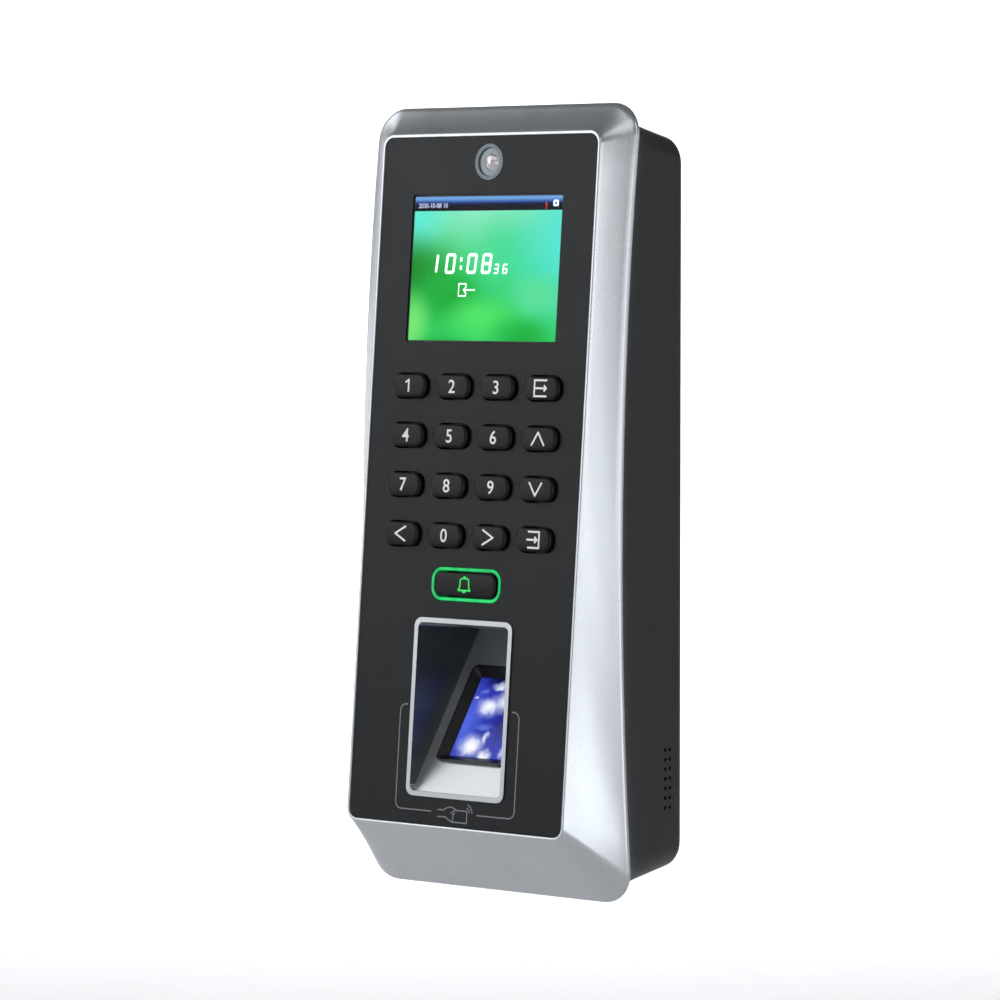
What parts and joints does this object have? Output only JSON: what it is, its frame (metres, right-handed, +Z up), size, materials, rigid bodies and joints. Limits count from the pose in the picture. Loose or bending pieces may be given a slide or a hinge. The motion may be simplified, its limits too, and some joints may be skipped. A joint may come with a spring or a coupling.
{
  "type": "fingerprint scanner terminal",
  "caption": "Wall-mounted fingerprint terminal: silver bevelled bezel, black panel with colour display, camera, keypad, lit bell key and a slanted silver finger well, on a steel wall plate.",
  "frame": {"origin": "centre of the wall plate's back face, on the wall", "axes": "+Z up, +Y into the wall, +X to the right as seen from the front; the front faces -Y"},
  "size_m": [0.086, 0.0467, 0.2],
  "materials": {
    "silver_paint": "satin silver paint on moulded plastic",
    "matt_panel": "fine matt texture",
    "window_clear": "clear gloss",
    "display": "lit colour display",
    "bracket_steel": "zinc plated",
    "ribbon_film": "flexible circuit film",
    "camera_trim": "satin grey",
    "lens_glass": "coated glass",
    "black_plastic": "moulded",
    "key_cap": "satin black, white legends",
    "light_guide": "lit translucent green",
    "silicone": "moulded silicone",
    "circuit_board": "solder mask",
    "screw_steel": "zinc plated",
    "well_silver": "satin silver paint",
    "sensor_glass": "lit by blue light",
    "light_chip": "clear resin",
    "antenna_board": "solder mask",
    "chip_black": "moulded epoxy",
    "cell_steel": "polished steel",
    "relay_blue": "moulded",
    "capacitor_can": "aluminium can",
    "terminal_green": "moulded",
    "jack_metal": "shielded",
    "plunger_white": "moulded",
    "lead_wire": "insulated wire",
    "casing_black": "fine spark texture",
    "seal_rubber": "foam cord",
    "plate_steel": "zinc plated sheet"
  },
  "bodies": {
    "terminal": {"front_bezel": "silver_paint", "front_panel": "matt_panel", "display_window": "window_clear", "display_module": "display", "display_bracket": "bracket_steel", "display_ribbon": "ribbon_film", "camera_ring": "camera_trim", "camera_window": "window_clear", "camera_lens": "lens_glass", "camera_module": "black_plastic", "bell_light_ring": "light_guide", "keypad_mat": "silicone", "keypad_board": "circuit_board", "keypad_ribbon": "ribbon_film", "panel_screws": "screw_steel", "finger_well": "well_silver", "sensor_frame": "black_plastic", "sensor_prism": "sensor_glass", "sensor_housing": "black_plastic", "sensor_board": "circuit_board", "sensor_lights": "light_chip", "sensor_ribbon": "ribbon_film", "card_antenna": "antenna_board", "main_board": "circuit_board", "processor": "chip_black", "coin_cell": "cell_steel", "lock_relay": "relay_blue", "capacitors": "capacitor_can", "terminal_blocks": "terminal_green", "network_jack": "jack_metal", "tamper_switch": "black_plastic", "board_screws": "screw_steel", "speaker": "black_plastic", "speaker_leads": "lead_wire", "rear_casing": "casing_black", "casing_seal": "seal_rubber", "casing_screws": "screw_steel", "wall_plate": "plate_steel", "lock_screw": "screw_steel"},
    "key_1_body": {"key_1": "key_cap"},
    "key_2_body": {"key_2": "key_cap"},
    "key_3_body": {"key_3": "key_cap"},
    "key_exit_body": {"key_exit": "key_cap"},
    "key_4_body": {"key_4": "key_cap"},
    "key_5_body": {"key_5": "key_cap"},
    "key_6_body": {"key_6": "key_cap"},
    "key_up_body": {"key_up": "key_cap"},
    "key_7_body": {"key_7": "key_cap"},
    "key_8_body": {"key_8": "key_cap"},
    "key_9_body": {"key_9": "key_cap"},
    "key_down_body": {"key_down": "key_cap"},
    "key_left_body": {"key_left": "key_cap"},
    "key_0_body": {"key_0": "key_cap"},
    "key_right_body": {"key_right": "key_cap"},
    "key_enter_body": {"key_enter": "key_cap"},
    "bell_key_body": {"bell_key": "key_cap"},
    "tamper_plunger_body": {"tamper_plunger": "plunger_white"}
  },
  "joints": [
    {"name": "key_1_press", "type": "slide", "parent": "terminal", "child": "key_1_body", "axis": [0, 0.9965, -0.0837], "range_m": [0, 0.0009], "stiffness_N_per_m": 900, "springref_m": -0.0006},
    {"name": "key_2_press", "type": "slide", "parent": "terminal", "child": "key_2_body", "axis": [0, 0.9965, -0.0837], "range_m": [0, 0.0009], "stiffness_N_per_m": 900, "springref_m": -0.0006},
    {"name": "key_3_press", "type": "slide", "parent": "terminal", "child": "key_3_body", "axis": [0, 0.9965, -0.0837], "range_m": [0, 0.0009], "stiffness_N_per_m": 900, "springref_m": -0.0006},
    {"name": "key_exit_press", "type": "slide", "parent": "terminal", "child": "key_exit_body", "axis": [0, 0.9965, -0.0837], "range_m": [0, 0.0009], "stiffness_N_per_m": 900, "springref_m": -0.0006},
    {"name": "key_4_press", "type": "slide", "parent": "terminal", "child": "key_4_body", "axis": [0, 0.9965, -0.0837], "range_m": [0, 0.0009], "stiffness_N_per_m": 900, "springref_m": -0.0006},
    {"name": "key_5_press", "type": "slide", "parent": "terminal", "child": "key_5_body", "axis": [0, 0.9965, -0.0837], "range_m": [0, 0.0009], "stiffness_N_per_m": 900, "springref_m": -0.0006},
    {"name": "key_6_press", "type": "slide", "parent": "terminal", "child": "key_6_body", "axis": [0, 0.9965, -0.0837], "range_m": [0, 0.0009], "stiffness_N_per_m": 900, "springref_m": -0.0006},
    {"name": "key_up_press", "type": "slide", "parent": "terminal", "child": "key_up_body", "axis": [0, 0.9965, -0.0837], "range_m": [0, 0.0009], "stiffness_N_per_m": 900, "springref_m": -0.0006},
    {"name": "key_7_press", "type": "slide", "parent": "terminal", "child": "key_7_body", "axis": [0, 0.9965, -0.0837], "range_m": [0, 0.0009], "stiffness_N_per_m": 900, "springref_m": -0.0006},
    {"name": "key_8_press", "type": "slide", "parent": "terminal", "child": "key_8_body", "axis": [0, 0.9965, -0.0837], "range_m": [0, 0.0009], "stiffness_N_per_m": 900, "springref_m": -0.0006},
    {"name": "key_9_press", "type": "slide", "parent": "terminal", "child": "key_9_body", "axis": [0, 0.9965, -0.0837], "range_m": [0, 0.0009], "stiffness_N_per_m": 900, "springref_m": -0.0006},
    {"name": "key_down_press", "type": "slide", "parent": "terminal", "child": "key_down_body", "axis": [0, 0.9965, -0.0837], "range_m": [0, 0.0009], "stiffness_N_per_m": 900, "springref_m": -0.0006},
    {"name": "key_left_press", "type": "slide", "parent": "terminal", "child": "key_left_body", "axis": [0, 0.9965, -0.0837], "range_m": [0, 0.0009], "stiffness_N_per_m": 900, "springref_m": -0.0006},
    {"name": "key_0_press", "type": "slide", "parent": "terminal", "child": "key_0_body", "axis": [0, 0.9965, -0.0837], "range_m": [0, 0.0009], "stiffness_N_per_m": 900, "springref_m": -0.0006},
    {"name": "key_right_press", "type": "slide", "parent": "terminal", "child": "key_right_body", "axis": [0, 0.9965, -0.0837], "range_m": [0, 0.0009], "stiffness_N_per_m": 900, "springref_m": -0.0006},
    {"name": "key_enter_press", "type": "slide", "parent": "terminal", "child": "key_enter_body", "axis": [0, 0.9965, -0.0837], "range_m": [0, 0.0009], "stiffness_N_per_m": 900, "springref_m": -0.0006},
    {"name": "bell_key_press", "type": "slide", "parent": "terminal", "child": "bell_key_body", "axis": [0, 0.9965, -0.0837], "range_m": [0, 0.0009], "stiffness_N_per_m": 900, "springref_m": -0.0008},
    {"name": "tamper_plunger_press", "type": "slide", "parent": "terminal", "child": "tamper_plunger_body", "axis": [0, -1, 0], "range_m": [0, 0.0008], "stiffness_N_per_m": 500, "springref_m": -0.0008}
  ]
}
